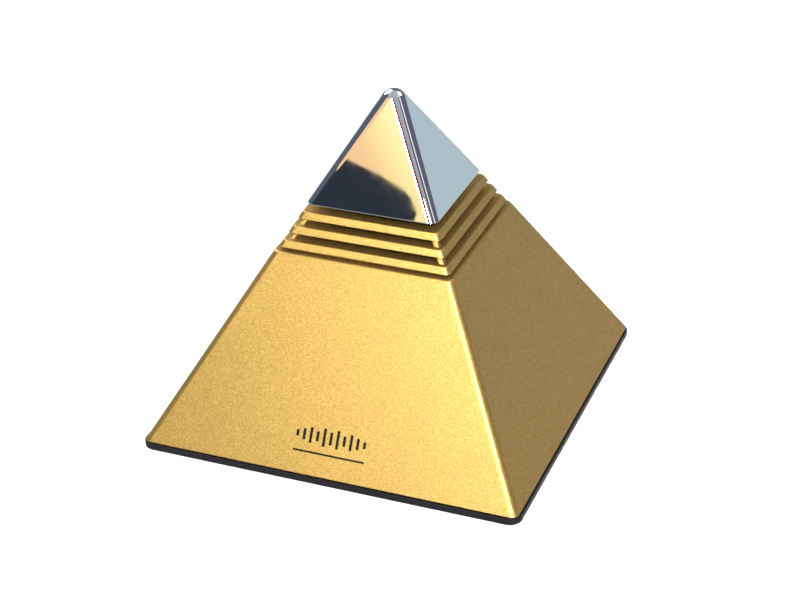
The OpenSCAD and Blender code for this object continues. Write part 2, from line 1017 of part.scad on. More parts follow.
module time_key() key(key_x[0]);
module alarm_key() key(key_x[1]);
module hour_key() key(key_x[2]);
module minute_key() key(key_x[3]);
module time_dome() key_dome(key_x[0]);
module alarm_dome() key_dome(key_x[1]);
module hour_dome() key_dome(key_x[2]);
module minute_dome() key_dome(key_x[3]);
module alarm_switch_body() switch_body(switch_x[0]);
module chime_switch_body() switch_body(switch_x[1]);
module alarm_switch_knob() switch_knob(switch_x[0]);
module chime_switch_knob() switch_knob(switch_x[1]);

// ---- Wires ----

module speaker_leads() {
    color("red")
        for (s = [0, 1])
            mirror([s, 0, 0])
                tube(smooth(speaker_route), lead_r);
}

module switch_leads() {
    color("white")
        for (y = [-0.5, 0.5])
            translate([0, y, 0])
                tube(smooth(switch_route), lead_r);
}

module battery_leads() {
    color("red")
        tube(smooth(positive_route), lead_r);
    color("black")
        tube(smooth(negative_route), lead_r);
}

body_shell();
louvre_collar();
tip_cap();
tip_plunger();
plunger_clip();
return_spring();
switch_board();
switch_dome();
sound_screen();
collar_screws();
speaker_screws();
speaker_frame();
speaker_top_plate();
speaker_magnet();
speaker_yoke();
voice_coil();
speaker_cone();
speaker_dust_cap();
speaker_surround();
speaker_terminals();
base_cover();
battery_door();
battery_1();
battery_2();
positive_contact();
negative_contact();
series_contact();
lcd_window();
lcd_glass();
lcd_reflector();
lcd_holder();
zebra_strips();
main_board();
speech_chip();
memory_chip();
clock_chip();
crystal();
capacitors();
transistors();
board_passives();
board_screws();
case_screws();
rubber_feet();
time_key();
alarm_key();
hour_key();
minute_key();
time_dome();
alarm_dome();
hour_dome();
minute_dome();
alarm_switch_body();
chime_switch_body();
alarm_switch_knob();
chime_switch_knob();
speaker_leads();
switch_leads();
battery_leads();
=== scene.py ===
"""Looks of the pyramid talking clock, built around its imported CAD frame. Units are metres."""

import json
import math

import bmesh
import bpy
import numpy as np
from mathutils import Matrix, Vector


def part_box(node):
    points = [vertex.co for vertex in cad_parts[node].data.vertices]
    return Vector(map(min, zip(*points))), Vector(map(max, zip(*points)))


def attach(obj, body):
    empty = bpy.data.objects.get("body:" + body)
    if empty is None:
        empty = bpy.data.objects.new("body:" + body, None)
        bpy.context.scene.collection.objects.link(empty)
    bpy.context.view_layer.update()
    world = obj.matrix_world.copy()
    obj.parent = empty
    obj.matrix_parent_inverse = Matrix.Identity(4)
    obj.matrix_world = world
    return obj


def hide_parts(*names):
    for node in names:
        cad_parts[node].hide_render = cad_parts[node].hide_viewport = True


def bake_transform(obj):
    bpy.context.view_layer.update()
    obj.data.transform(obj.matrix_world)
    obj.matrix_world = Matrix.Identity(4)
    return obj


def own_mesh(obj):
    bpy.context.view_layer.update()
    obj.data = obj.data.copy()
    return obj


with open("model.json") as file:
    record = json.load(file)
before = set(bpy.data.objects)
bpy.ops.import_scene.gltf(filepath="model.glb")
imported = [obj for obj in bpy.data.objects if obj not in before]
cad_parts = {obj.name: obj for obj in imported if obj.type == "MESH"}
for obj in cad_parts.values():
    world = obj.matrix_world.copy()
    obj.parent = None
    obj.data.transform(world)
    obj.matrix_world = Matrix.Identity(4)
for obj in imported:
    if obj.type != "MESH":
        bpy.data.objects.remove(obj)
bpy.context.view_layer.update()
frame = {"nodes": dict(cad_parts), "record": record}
nodes = frame["nodes"]
MM = 0.001
CORNER_STEPS = 10
EDGE_STEPS = 4
SMALL_STEPS = 32
TOUCH = 1e-8
FINE_EDGE = 0.1 * MM


# ---- Places read from the frame ----


def low(node):
    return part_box(node)[0]


def high(node):
    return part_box(node)[1]


def reach(node, z):
    """Half-width of a CAD node at the level of its vertices nearest to z."""
    points = [v.co for v in nodes[node].data.vertices]
    level = min((abs(p.z - z), p.z) for p in points)[1]
    return max(p.x for p in points if abs(p.z - level) < 0.05 * MM)


FOOT_Z = low("body_shell").z
FOOT_HALF = high("body_shell").x
BODY_TOP_Z = high("body_shell").z
BODY_TOP_HALF = reach("body_shell", BODY_TOP_Z)
LEAN = (FOOT_HALF - BODY_TOP_HALF) / (BODY_TOP_Z - FOOT_Z)
CAP_Z = low("tip_cap").z
CAP_HALF = high("tip_cap").x
TIP_Z = high("tip_cap").z
DECK_TOP_Z = high("louvre_collar").z


def half_at(z, inset):
    """Half-width of the pyramid at a height, measured to a plane set back by inset."""
    return FOOT_HALF - LEAN * (z - FOOT_Z) - inset


def four(distance):
    """The same place in each corner, seen from above."""
    return [(sx * distance, sy * distance) for sx in (-1, 1) for sy in (-1, 1)]


def placed(name, data):
    """New object in the scene."""
    thing = bpy.data.objects.new(name, data)
    bpy.context.scene.collection.objects.link(thing)
    return thing


# ---- Camera ----


def direction(azimuth, elevation):
    """Unit vector from the object towards something seen at that bearing, in degrees."""
    a, e = math.radians(azimuth), math.radians(elevation)
    return Vector((math.sin(a) * math.cos(e), -math.cos(a) * math.cos(e), math.sin(e)))


def level_right(azimuth):
    """Level unit vector that points right when seen from that azimuth, in degrees."""
    a = math.radians(azimuth)
    return Vector((math.cos(a), math.sin(a), 0))


def make_camera():
    azimuth, elevation, roll = 21.14, 28.99, math.radians(-0.47)
    distance = 10.583 * FOOT_HALF
    shift_right, shift_up = 0.0208 * FOOT_HALF, 0.0233 * FOOT_HALF
    back = direction(azimuth, elevation)
    level = level_right(azimuth)
    upright = back.cross(level)
    right = math.cos(roll) * level + math.sin(roll) * upright
    up = math.cos(roll) * upright - math.sin(roll) * level
    plate_edge_z = low("base_cover").z
    aim = Vector((0, 0, 0.5 * FOOT_HALF + plate_edge_z))
    aim += shift_right * right + shift_up * up
    data = bpy.data.cameras.new("camera")
    data.lens = 91.06
    data.clip_start = 0.01
    camera = placed("camera", data)
    camera.matrix_world = Matrix((
        (right.x, up.x, back.x, 0),
        (right.y, up.y, back.y, 0),
        (right.z, up.z, back.z, 0),
        (0, 0, 0, 1),
    ))
    camera.location = aim + distance * back
    bpy.context.scene.camera = camera


make_camera()


# ---- Node helpers for materials ----


def fill_ramp(ramp, stops):
    """Sets a colour ramp to the given (position, rgb) stops."""
    elements = ramp.color_ramp.elements
    while len(elements) < len(stops):
        elements.new(0.5)
    for element, (position, rgb) in zip(elements, stops):
        element.position = position
        element.color = (*rgb, 1)


class Shader:
    """A new material with a Principled shader and short ways to add nodes to it."""

    def __init__(self, name, **sockets):
        self.material = bpy.data.materials.new(name)
        self.material.use_nodes = True
        self.tree = self.material.node_tree
        self.base = self.tree.nodes["Principled BSDF"]
        self.material.diffuse_color = sockets.get("Base_Color", (0.5, 0.5, 0.5, 1))
        for key, value in sockets.items():
            self.base.inputs[key.replace("_", " ")].default_value = value

    def add(self, kind, **settings):
        node = self.tree.nodes.new(kind)
        for key, value in settings.items():
            if key in node.inputs:
                node.inputs[key].default_value = value
            else:
                setattr(node, key, value)
        return node

    def link(self, source, target):
        self.tree.links.new(source, target)

    def place(self, stretch=(1, 1, 1)):
        """The object's own coordinates, in millimetres, stretched along the axes."""
        coordinates = self.add("ShaderNodeTexCoord")
        mapping = self.add("ShaderNodeMapping", Scale=[s / MM for s in stretch])
        self.link(coordinates.outputs["Object"], mapping.inputs["Vector"])
        return mapping.outputs["Vector"]

    def noise(self, size, detail, stretch=(1, 1, 1)):
        """Noise whose grains measure about size, in millimetres."""
        noise = self.add("ShaderNodeTexNoise", Scale=1 / size, Detail=detail)
        self.link(self.place(stretch), noise.inputs["Vector"])
        return noise.outputs["Fac"]

    def ramp(self, value, least, most, start, end):
        """Value remapped so that start becomes least and end becomes most."""
        remap = self.add("ShaderNodeMapRange")
        limits = {"From Min": start, "From Max": end, "To Min": least, "To Max": most}
        for name, number in limits.items():
            remap.inputs[name].default_value = number
        self.link(value, remap.inputs["Value"])
        return remap.outputs["Result"]

    def colour(self, value, stops):
        """Colour ramp through (position, rgb) stops, wired to the base colour."""
        ramp = self.add("ShaderNodeValToRGB")
        fill_ramp(ramp, stops)
        self.link(value, ramp.inputs["Fac"])
        self.link(ramp.outputs["Color"], self.base.inputs["Base Color"])

    def rough(self, value, least, most, start=0.3, end=0.7):
        """Roughness between two limits, following a value."""
        self.link(self.ramp(value, least, most, start, end), self.base.inputs["Roughness"])

    def bump(self, height, depth):
        """Bumps of that depth, in millimetres."""
        bump = self.add("ShaderNodeBump", Distance=depth * MM, Strength=1.0)
        self.link(height, bump.inputs["Height"])
        self.link(bump.outputs["Normal"], self.base.inputs["Normal"])


def tones(rgb, spread, positions=(0.3, 0.5, 0.7)):
    """Ramp stops: the same colour a little darker, as it is, and a little lighter."""
    shades = [tuple(min(1.0, c * f) for c in rgb) for f in (1 - spread, 1, 1 + spread)]
    return list(zip(positions, shades))


def speckled(name, rgb, grain, spread=0.06, roughness=(0.35, 0.45), bump=0.004, **sockets):
    """Moulded or painted surface: fine grain in its colour, gloss and relief."""
    shader = Shader(name, **sockets)
    fine = shader.noise(grain, 3)
    shader.colour(fine, tones(rgb, spread))
    shader.rough(shader.noise(grain * 6, 2), *roughness)
    shader.bump(fine, bump)
    return shader.material


# ---- Materials ----

GOLD = (0.49, 0.312, 0.092)


def gold_lacquer():
    """Metallic lacquer: fine flake grain over a slow change of gloss."""
    shader = Shader("gold_lacquer", Metallic=0.9, Coat_Weight=0.12, Coat_Roughness=0.3)
    flakes = shader.noise(0.36, 2.5)
    shader.colour(flakes, tones(GOLD, 0.30))
    shader.rough(shader.noise(7, 3), 0.38, 0.44)
    shader.bump(flakes, 0.012)
    return shader.material


def mirror_plating():
    shader = Shader("mirror_plating", Base_Color=(0.90, 0.91, 0.93, 1), Metallic=1.0)
    shader.rough(shader.noise(4, 3), 0.010, 0.026)
    return shader.material


def brushed(name, rgb, roughness=(0.22, 0.36)):
    """Metal with fine lines along X."""
    shader = Shader(name, Metallic=1.0)
    lines = shader.noise(0.12, 3, (0.04, 1, 1))
    shader.colour(lines, tones(rgb, 0.12))
    shader.rough(lines, *roughness)
    shader.bump(lines, 0.003)
    return shader.material


def clear(name, rgb):
    """Thin clear window that keeps its gloss."""
    shader = Shader(name, Base_Color=(*rgb, 1), Alpha=0.22, IOR=1.49)
    shader.rough(shader.noise(9, 2), 0.05, 0.09, 0, 1)
    return shader.material


def woven(name, rgb):
    """Fine cloth: two crossed sets of threads."""
    shader = Shader(name, Roughness=0.9, Sheen_Weight=0.3)
    place = shader.place()
    waves = []
    for axis in ("X", "Y"):
        wave = shader.add("ShaderNodeTexWave", bands_direction=axis, Scale=1.1)
        shader.link(place, wave.inputs["Vector"])
        waves.append(wave.outputs["Fac"])
    weave = shader.add("ShaderNodeMath", operation="MULTIPLY")
    shader.link(waves[0], weave.inputs[0])
    shader.link(waves[1], weave.inputs[1])
    shader.colour(weave.outputs[0], tones(rgb, 0.4, (0.0, 0.4, 1.0)))
    shader.bump(weave.outputs[0], 0.08)
    return shader.material


def striped_rubber():
    """Thin conducting layers in an insulating strip."""
    shader = Shader("striped_rubber", Roughness=0.7)
    wave = shader.add("ShaderNodeTexWave", bands_direction="X", Scale=0.8)
    shader.link(shader.place(), wave.inputs["Vector"])
    layers = [(0.2, (0.05, 0.04, 0.05)), (0.5, (0.5, 0.2, 0.3)), (0.8, (0.6, 0.25, 0.35))]
    shader.colour(wave.outputs["Fac"], layers)
    return shader.material


def battery_jacket(sign):
    """Printed sleeve, blue with a pale band near the contact button, which faces along X."""
    side = "left" if sign < 0 else "right"
    shader = Shader(f"battery_jacket_{side}", Metallic=0.4, Roughness=0.3, Coat_Weight=0.6)
    half_length = 30
    axes = shader.add("ShaderNodeSeparateXYZ")
    shader.link(shader.place(), axes.inputs[0])
    blue, pale = (0.03, 0.10, 0.30), (0.55, 0.50, 0.36)
    shader.colour(
        shader.ramp(axes.outputs["X"], 0, 1, -sign * half_length, sign * half_length),
        [(0.72, blue), (0.725, pale), (0.76, pale), (0.765, blue)],
    )
    return shader.material


LOOKS = {
    "gold_paint": gold_lacquer(),
    "tip_plating": mirror_plating(),
    "black_plastic": speckled(
        "black_moulding", (0.008, 0.008, 0.012), 0.5, roughness=(0.20, 0.27), bump=0.002,
        Specular_IOR_Level=0.32,
    ),
    "inner_plastic": speckled("inner_moulding", (0.02, 0.02, 0.022), 0.4, roughness=(0.5, 0.6)),
    "spring_steel": brushed("spring_steel", (0.60, 0.60, 0.62)),
    "plated_steel": brushed("plated_steel", (0.66, 0.66, 0.68), (0.25, 0.4)),
    "circuit_board": speckled(
        "circuit_board", (0.01, 0.10, 0.04), 0.8, 0.2, (0.3, 0.45), Coat_Weight=0.4,
    ),
    "dome_rubber": speckled(
        "dome_rubber", (0.62, 0.62, 0.60), 0.6, roughness=(0.5, 0.6), Subsurface_Weight=0.1,
    ),
    "speaker_cloth": woven("speaker_cloth", (0.012, 0.012, 0.012)),
    "speaker_basket": speckled("basket_paint", (0.08, 0.09, 0.10), 0.4, Metallic=0.5),
    "ferrite": speckled("ferrite", (0.03, 0.03, 0.035), 0.3, 0.2, (0.5, 0.7)),
    "coil_copper": brushed("coil_copper", (0.60, 0.28, 0.12)),
    "cone_paper": speckled("cone_paper", (0.02, 0.02, 0.02), 0.5, 0.3, (0.8, 0.95), 0.03),
    "terminal_board": speckled("terminal_board", (0.34, 0.24, 0.10), 0.6, 0.15),
    "battery_jacket": battery_jacket(1),
    "clear_window": clear("clear_window", (0.30, 0.33, 0.32)),
    "lcd_glass": speckled("lcd_glass", (0.34, 0.38, 0.31), 2.0, 0.03, (0.12, 0.18), 0.001),
    "lcd_foil": speckled(
        "lcd_foil", (0.45, 0.48, 0.42), 0.5, roughness=(0.4, 0.6), Metallic=0.8,
    ),
    "white_plastic": speckled("white_moulding", (0.70, 0.70, 0.68), 0.5),
    "zebra_rubber": striped_rubber(),
    "chip_resin": speckled("chip_resin", (0.01, 0.01, 0.011), 0.3, 0.2, (0.4, 0.55)),
    "capacitor_sleeve": speckled(
        "capacitor_sleeve", (0.008, 0.012, 0.06), 0.8, roughness=(0.2, 0.3),
    ),
    "passive_ceramic": speckled("passive_ceramic", (0.28, 0.20, 0.09), 0.4, 0.15),
    "foot_rubber": speckled("foot_rubber", (0.03, 0.03, 0.032), 0.35, 0.25, (0.75, 0.9), 0.02),
    "key_plastic": speckled(
        "key_moulding", (0.17, 0.17, 0.18), 0.4, roughness=(0.4, 0.5), bump=0.006,
    ),
    "switch_steel": brushed("switch_steel", (0.62, 0.62, 0.64)),
    "wire_cover": speckled("wire_cover", (0.28, 0.01, 0.01), 0.6, roughness=(0.3, 0.4)),
}
BLACK_INK = speckled(
    "black_ink", (0.008, 0.006, 0.005), 0.3, 0.3, (0.5, 0.6), Specular_IOR_Level=0.15,
)
DISPLAY_INK = speckled("display_ink", (0.01, 0.012, 0.01), 0.5)
PRINT_WHITE = speckled("print_white", (0.75, 0.75, 0.74), 0.4, roughness=(0.5, 0.6))


def paint_frame():
    """Every CAD node takes the look of its own material slot."""
    for part in frame["record"]["subparts"]:
        mesh = nodes[part["node"]].data
        mesh.materials.clear()
        mesh.materials.append(LOOKS[part["material_slot"]])
        mesh.shade_smooth()


paint_frame()


def weigh(thing):
    """Large faces set the shading, so that small eased edges don't bend it."""
    weighted = thing.modifiers.new("weighted", "WEIGHTED_NORMAL")
    weighted.keep_sharp = True


def soften(name, width):
    """Eased edges on a CAD node, added as modifiers over its own mesh."""
    node = nodes[name]
    weld = node.modifiers.new("weld", "WELD")
    weld.merge_threshold = 0.001 * MM
    bevel = node.modifiers.new("bevel", "BEVEL")
    bevel.width = width * MM
    bevel.segments = 2
    bevel.limit_method = "ANGLE"
    bevel.angle_limit = math.radians(30)
    weigh(node)


soften("base_cover", 0.12)
soften("battery_door", 0.10)

# ---- Mesh helpers ----


def ring(half, radius, z, centre=(0, 0)):
    """Level square outline with round corners, as a row of points; a circle if radius is half."""
    points = []
    for quarter in range(4):
        side_x = 1 if quarter in (0, 3) else -1
        side_y = 1 if quarter in (0, 1) else -1
        for step in range(CORNER_STEPS + 1):
            a = math.pi / 2 * (quarter + step / CORNER_STEPS)
            x = side_x * (half - radius) + radius * math.cos(a)
            y = side_y * (half - radius) + radius * math.sin(a)
            points.append((centre[0] + x, centre[1] + y, z))
    return np.array(points)


def ring_tangents():
    """Direction along the outline at each point of a ring."""
    angles = [
        math.pi / 2 * (quarter + step / CORNER_STEPS)
        for quarter in range(4) for step in range(CORNER_STEPS + 1)
    ]
    return np.array([(-math.sin(a), math.cos(a), 0) for a in angles])


TANGENTS = ring_tangents()


def unit_rows(rows):
    lengths = np.linalg.norm(rows, axis=1, keepdims=True)
    return rows / np.maximum(lengths, 1e-12)


def eased(before, corner, after, setback):
    """Rows and normals of a small curve that rounds a corner off, from one side to the other."""
    rows, normals = [], []
    start = corner + unit_rows(before - corner) * setback
    end = corner + unit_rows(after - corner) * setback
    for step in range(EDGE_STEPS + 1):
        t = step / EDGE_STEPS
        rows.append((1 - t) ** 2 * start + 2 * t * (1 - t) * corner + t * t * end)
        slope = (1 - t) * (corner - start) + t * (end - corner)
        normals.append(unit_rows(np.cross(TANGENTS, slope)))
    return rows, normals


def rounded_rows(corners):
    """Rows and normals of a closed section through the given (row, setback) corners."""
    rows, normals = [], []
    for i, (row, setback) in enumerate(corners):
        after = corners[(i + 1) % len(corners)][0]
        some_rows, some_normals = eased(corners[i - 1][0], row, after, setback)
        rows += some_rows
        normals += some_normals
    return rows, normals


def skin(rows, normals, closed=True):
    """Vertices, faces and vertex normals of a surface through rows; equal points are shared."""
    kept, numbers = [], []
    for j, row in enumerate(rows):
        line = []
        for k, point in enumerate(row):
            if line and np.abs(point - row[k - 1]).max() < TOUCH:
                line.append(line[-1])
                continue
            line.append(len(kept))
            kept.append((point, normals[j][k]))
        if line[-1] != line[0] and np.abs(row[-1] - row[0]).max() < TOUCH:
            last = line[-1]
            line = [line[0] if n == last else n for n in line]
        numbers.append(line)
    faces = []
    for j in range(len(rows) if closed else len(rows) - 1):
        lower, upper = numbers[j], numbers[(j + 1) % len(rows)]
        for k in range(len(lower)):
            n = (k + 1) % len(lower)
            face = list(dict.fromkeys((lower[k], lower[n], upper[n], upper[k])))
            if len(face) > 2:
                faces.append(tuple(face))
    return np.array([p for p, _ in kept]), faces, np.array([n for _, n in kept])


def sweep(corners):
    """Closed shell round the Z axis through the given (row, setback) corners."""
    return skin(*rounded_rows(corners))


def build(name, skins, material):
    """One object from one or more skins."""
    points, faces, bends = [], [], []
    for some_points, some_faces, some_bends in skins:
        base = sum(len(p) for p in points)
        points.append(some_points)
        bends.append(some_bends)
        faces += [tuple(base + i for i in face) for face in some_faces]
    mesh = bpy.data.meshes.new(name)
    mesh.from_pydata(np.concatenate(points).tolist(), [], faces)
    mesh.shade_smooth()
    mesh.normals_split_custom_set_from_vertices(np.concatenate(bends).tolist())
    mesh.materials.append(material)
    return placed(name, mesh)


def from_bmesh(name, bm, material):
    mesh = bpy.data.meshes.new(name)
    bm.to_mesh(mesh)
    bm.free()
    mesh.materials.append(material)
    return placed(name, mesh)


def stand_for(piece, body, slot, *replaced):
    """The piece rides on a body and hides the CAD nodes it stands for; the slot is not used."""
    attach(piece, body)
    if replaced:
        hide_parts(*replaced)


def column(centre_low, centre_high, z0, z1, half, radius):
    """Solid post with round corners that may lean."""
    return sweep([
        (ring(0, 0, z0, centre_low), 0),
        (ring(half, radius, z0, centre_low), FINE_EDGE),
        (ring(half, radius, z1, centre_high), FINE_EDGE),
        (ring(0, 0, z1, centre_high), 0),
    ])


def round_column(centre, z0, z1, radius):
    return column(centre, centre, z0, z1, radius, radius)


# ---- Gold body ----

BODY_WALL = 2.5 * MM
BODY_CORNER = 1.9 * MM
SPIGOT_CORNER = 1.4 * MM
INNER_CORNER = 1.0 * MM
INNER_EDGE = 0.2 * MM
BAFFLE_Z = 41 * MM
BAFFLE_HALF = 28 * MM
BAFFLE_THICKNESS = 2 * MM
SPEAKER_SCREW_BEARINGS = (20, 160, 200, 340)
CASE_SCREW_AT = 40.5 * MM
CASE_BOSS_LEVELS = (5.3 * MM, 16.1 * MM, 26 * MM)


def make_shell():
    foot_edge, top_edge = 0.35 * MM, 0.45 * MM
    walls = sweep([
        (ring(FOOT_HALF, BODY_CORNER, FOOT_Z), foot_edge),
        (ring(BODY_TOP_HALF, BODY_CORNER, BODY_TOP_Z), top_edge),
        (ring(BODY_TOP_HALF - BODY_WALL, INNER_CORNER, BODY_TOP_Z), INNER_EDGE),
        (ring(FOOT_HALF - BODY_WALL, INNER_CORNER, FOOT_Z), INNER_EDGE),
    ])
    piece = build("gold_shell", [walls], LOOKS["gold_paint"])
    stand_for(piece, "case", "gold_paint", "body_shell")


def baffle():
    """Plate that closes the body below the collar, open over the speaker."""
    hole = 19.2 * MM
    z0, z1 = BAFFLE_Z, BAFFLE_Z + BAFFLE_THICKNESS
    return sweep([
        (ring(BAFFLE_HALF, SPIGOT_CORNER, z0), INNER_EDGE),
        (ring(BAFFLE_HALF, SPIGOT_CORNER, z1), INNER_EDGE),
        (ring(hole, hole, z1), FINE_EDGE),
        (ring(hole, hole, z0), FINE_EDGE),
    ])


def speaker_post(bearing):
    """Short post under the baffle that a speaker screw holds to."""
    distance, radius, drop, bury = 25.3 * MM, 1.7 * MM, 1.3 * MM, 0.2 * MM
    a = math.radians(bearing)
    centre = (distance * math.cos(a), distance * math.sin(a))
    return round_column(centre, BAFFLE_Z - drop, BAFFLE_Z + bury, radius)


def case_boss(centre):
    """Boss for a case screw, cut to the slope of the walls."""
    radius, edge = 3 * MM, 0.05 * MM
    rows = []
    for z in CASE_BOSS_LEVELS:
        row = ring(radius, radius, z, centre)
        limit = half_at(z, BODY_WALL / 2)
        row[:, :2] = np.clip(row[:, :2], -limit, limit)
        rows.append(row)
    foot, head = (row * 0 + row.mean(axis=0) for row in (rows[0], rows[-1]))
    return sweep([(foot, 0)] + [(row, edge) for row in rows] + [(head, 0)])


def make_shell_inside():
    skins = [baffle()]
    skins += [speaker_post(bearing) for bearing in SPEAKER_SCREW_BEARINGS]
    skins += [case_boss(centre) for centre in four(CASE_SCREW_AT)]
    piece = build("gold_shell_inside", skins, LOOKS["gold_paint"])
    stand_for(piece, "case", "gold_paint", "body_shell")


make_shell()
make_shell_inside()


# ---- Louvre collar ----

LOUVRE_HEIGHT = 1.8 * MM
LOUVRE_PITCH = 3.52 * MM
LOUVRE_COUNT = 3
LOUVRE_INSET = 0.5 * MM
LOUVRE_DEPTH = 3.9 * MM
LOUVRE_CORNER = 1.4 * MM
LOUVRE_EDGE = 0.25 * MM
POST_INSET = 1.3 * MM
POST_HALF = 0.85 * MM
POST_CORNER = 0.5 * MM
DECK_SHARP = math.radians(50)


def louvre_base(i):
    return DECK_TOP_Z - LOUVRE_HEIGHT - (LOUVRE_COUNT - 1 - i) * LOUVRE_PITCH


def open_louvre(i):
    z0 = louvre_base(i)
    z1 = z0 + LOUVRE_HEIGHT
    hollow = half_at(z1, LOUVRE_INSET + LOUVRE_DEPTH)
    return sweep([
        (ring(half_at(z0, LOUVRE_INSET), LOUVRE_CORNER, z0), LOUVRE_EDGE),
        (ring(half_at(z1, LOUVRE_INSET), LOUVRE_CORNER, z1), LOUVRE_EDGE),
        (ring(hollow, INNER_CORNER, z1), FINE_EDGE),
        (ring(hollow, INNER_CORNER, z0), FINE_EDGE),
    ])


def deck():
    """Closed top louvre with the guide that the tip's stem slides in."""
    clip_height, spring_gap = 0.62 * MM, 0.02 * MM
    z0, z1 = louvre_base(LOUVRE_COUNT - 1), DECK_TOP_Z
    guide_z = low("plunger_clip").z + clip_height
    seat_z = low("return_spring").z - spring_gap
    bore, seat, guide = 3.06 * MM, 4.9 * MM, 5.9 * MM
    steps = [
        (seat, z1), (seat, seat_z), (bore, seat_z), (bore, guide_z), (guide, guide_z), (guide, z0),
    ]
    return sweep([
        (ring(half_at(z0, LOUVRE_INSET), LOUVRE_CORNER, z0), LOUVRE_EDGE),
        (ring(half_at(z1, LOUVRE_INSET), LOUVRE_CORNER, z1), LOUVRE_EDGE),
        *((ring(radius, radius, z), FINE_EDGE) for radius, z in steps),
    ])


def collar_posts():
    """Leaning corner posts between the louvres, buried a little at both ends."""
    skins = []
    bury = 0.2 * MM
    for i in range(LOUVRE_COUNT - 1):
        z0 = louvre_base(i) + LOUVRE_HEIGHT - bury
        z1 = louvre_base(i + 1) + bury
        start = half_at(z0, LOUVRE_INSET + POST_INSET + POST_HALF)
        end = half_at(z1, LOUVRE_INSET + POST_INSET + POST_HALF)
        for foot, head in zip(four(start), four(end)):
            skins.append(column(foot, head, z0, z1, POST_HALF, POST_CORNER))
    return skins


def spigot():
    """Square tube that locates the collar in the body."""
    outer, inner = 21.7 * MM, 20.1 * MM
    boss_drop, bury = 2.3 * MM, 0.3 * MM
    z0 = low("louvre_collar").z + boss_drop
    z1 = louvre_base(0) + bury
    return sweep([
        (ring(outer, SPIGOT_CORNER, z0), FINE_EDGE),
        (ring(outer, SPIGOT_CORNER, z1), FINE_EDGE),
        (ring(inner, INNER_CORNER, z1), FINE_EDGE),
        (ring(inner, INNER_CORNER, z0), FINE_EDGE),
    ])


def board_posts():
    """Two posts that carry the switch board, each with a stake through it."""
    posts_at, post_r, stake_r, stake, bury = 9 * MM, 1.6 * MM, 0.8 * MM, 2 * MM, 0.2 * MM
    board_top_z = high("switch_board").z
    deck_z = louvre_base(LOUVRE_COUNT - 1)
    skins = []
    for at in ((0, -posts_at), (0, posts_at)):
        skins.append(round_column(at, board_top_z, deck_z + bury, post_r))
        skins.append(round_column(at, board_top_z - stake, board_top_z + bury, stake_r))
    return skins


def make_collar():
    boss_at, boss_r = 18.6 * MM, 2.4 * MM
    z0 = low("louvre_collar").z
    skins = [open_louvre(i) for i in range(LOUVRE_COUNT - 1)]
    skins.append(spigot())
    skins += collar_posts()
    z1 = louvre_base(0) + LOUVRE_HEIGHT / 2
    skins += [round_column(at, z0, z1, boss_r) for at in four(boss_at)]
    skins += board_posts()
    piece = build("gold_louvres", skins, LOOKS["gold_paint"])
    stand_for(piece, "case", "gold_paint", "louvre_collar")


def make_deck():
    """The deck, with the two holes that the tip's guide pins slide in."""
    piece = build("gold_deck", [deck()], LOOKS["gold_paint"])
    pins_at, hole_r, hole_depth = 9.5 * MM, 1.56 * MM, 8 * MM
    cutter = bmesh.new()
    for side in (-1, 1):
        place = Matrix.Translation((side * pins_at, 0, DECK_TOP_Z))
        bmesh.ops.create_cone(
            cutter, cap_ends=True, segments=SMALL_STEPS, radius1=hole_r, radius2=hole_r,
            depth=hole_depth, matrix=place,
        )
    tool = from_bmesh("pin_cutter", cutter, LOOKS["gold_paint"])
    cut = piece.modifiers.new("cut", "BOOLEAN")
    cut.object = tool
    evaluated = piece.evaluated_get(bpy.context.evaluated_depsgraph_get())
    shaped = bpy.data.meshes.new_from_object(evaluated)
    piece.modifiers.clear()
    bpy.data.objects.remove(tool)
    if "custom_normal" in shaped.attributes:
        shaped.attributes.remove(shaped.attributes["custom_normal"])
    shaped.shade_smooth()
    shaped.set_sharp_from_angle(angle=DECK_SHARP)
    piece.data = shaped
    weigh(piece)
    stand_for(piece, "case", "gold_paint", "louvre_collar")


make_collar()
make_deck()


# ---- Plated tip ----

TIP_BALL = 3.8 * MM
CAP_CORNER = 2.5 * MM
CAP_DROP = 3.6 * MM
LIP_EASE = 0.3 * MM
BALL_STEPS = 10


def tilt(flat, elevation):
    """Level unit vectors raised to the given elevations."""
    lifted = flat * np.cos(elevation)[:, None]
    lifted[:, 2] = np.sin(elevation)
    return lifted


def tip_section(drop):
    """Rows and normals from the lower edge, over a straight face, to the ball at the top."""
    ball_z = TIP_Z - TIP_BALL
    base = ring(CAP_HALF, CAP_CORNER, CAP_Z)
    flat = np.stack([TANGENTS[:, 1], -TANGENTS[:, 0], np.zeros(len(TANGENTS))], axis=1)
    out = np.sum(base * flat, axis=1)
    rise = ball_z - CAP_Z
    # Elevation at which the plane touches both the lower edge and the ball
    reach_angle = np.arctan2(rise, out)
    elevation = np.arccos(TIP_BALL / np.hypot(out, rise)) - reach_angle
    rows, normals = [base], [tilt(flat, elevation)]
    for step in range(BALL_STEPS + 1):
        lift = elevation + (math.pi / 2 - elevation) * step / BALL_STEPS
        normal = tilt(flat, lift)
        rows.append(normal * TIP_BALL + np.array((0, 0, ball_z)))
        normals.append(normal)
    return [row - np.array((0, 0, drop)) for row in rows], normals


def make_tip():
    """Hollow plated pyramid: inside from its top down, round the lower edge, outside back up."""
    outer, outer_normals = tip_section(0.0)
    inner, inner_normals = tip_section(CAP_DROP)
    share = CAP_DROP / (inner[1][:, 2] - inner[0][:, 2])
    inner_base = inner[0] + (inner[1] - inner[0]) * share[:, None]
    rows = inner[:0:-1]
    normals = [-n for n in inner_normals[:0:-1]]
    lips = [(inner[1], inner_base, outer[0]), (inner_base, outer[0], outer[1])]
    for before, corner, after in lips:
        lip_rows, lip_normals = eased(before, corner, after, LIP_EASE)
        rows += lip_rows
        normals += lip_normals
    rows += outer[1:]
    normals += outer_normals[1:]
    piece = build("plated_tip", [skin(rows, normals, closed=False)], LOOKS["tip_plating"])
    stand_for(piece, "tip", "tip_plating", "tip_cap")


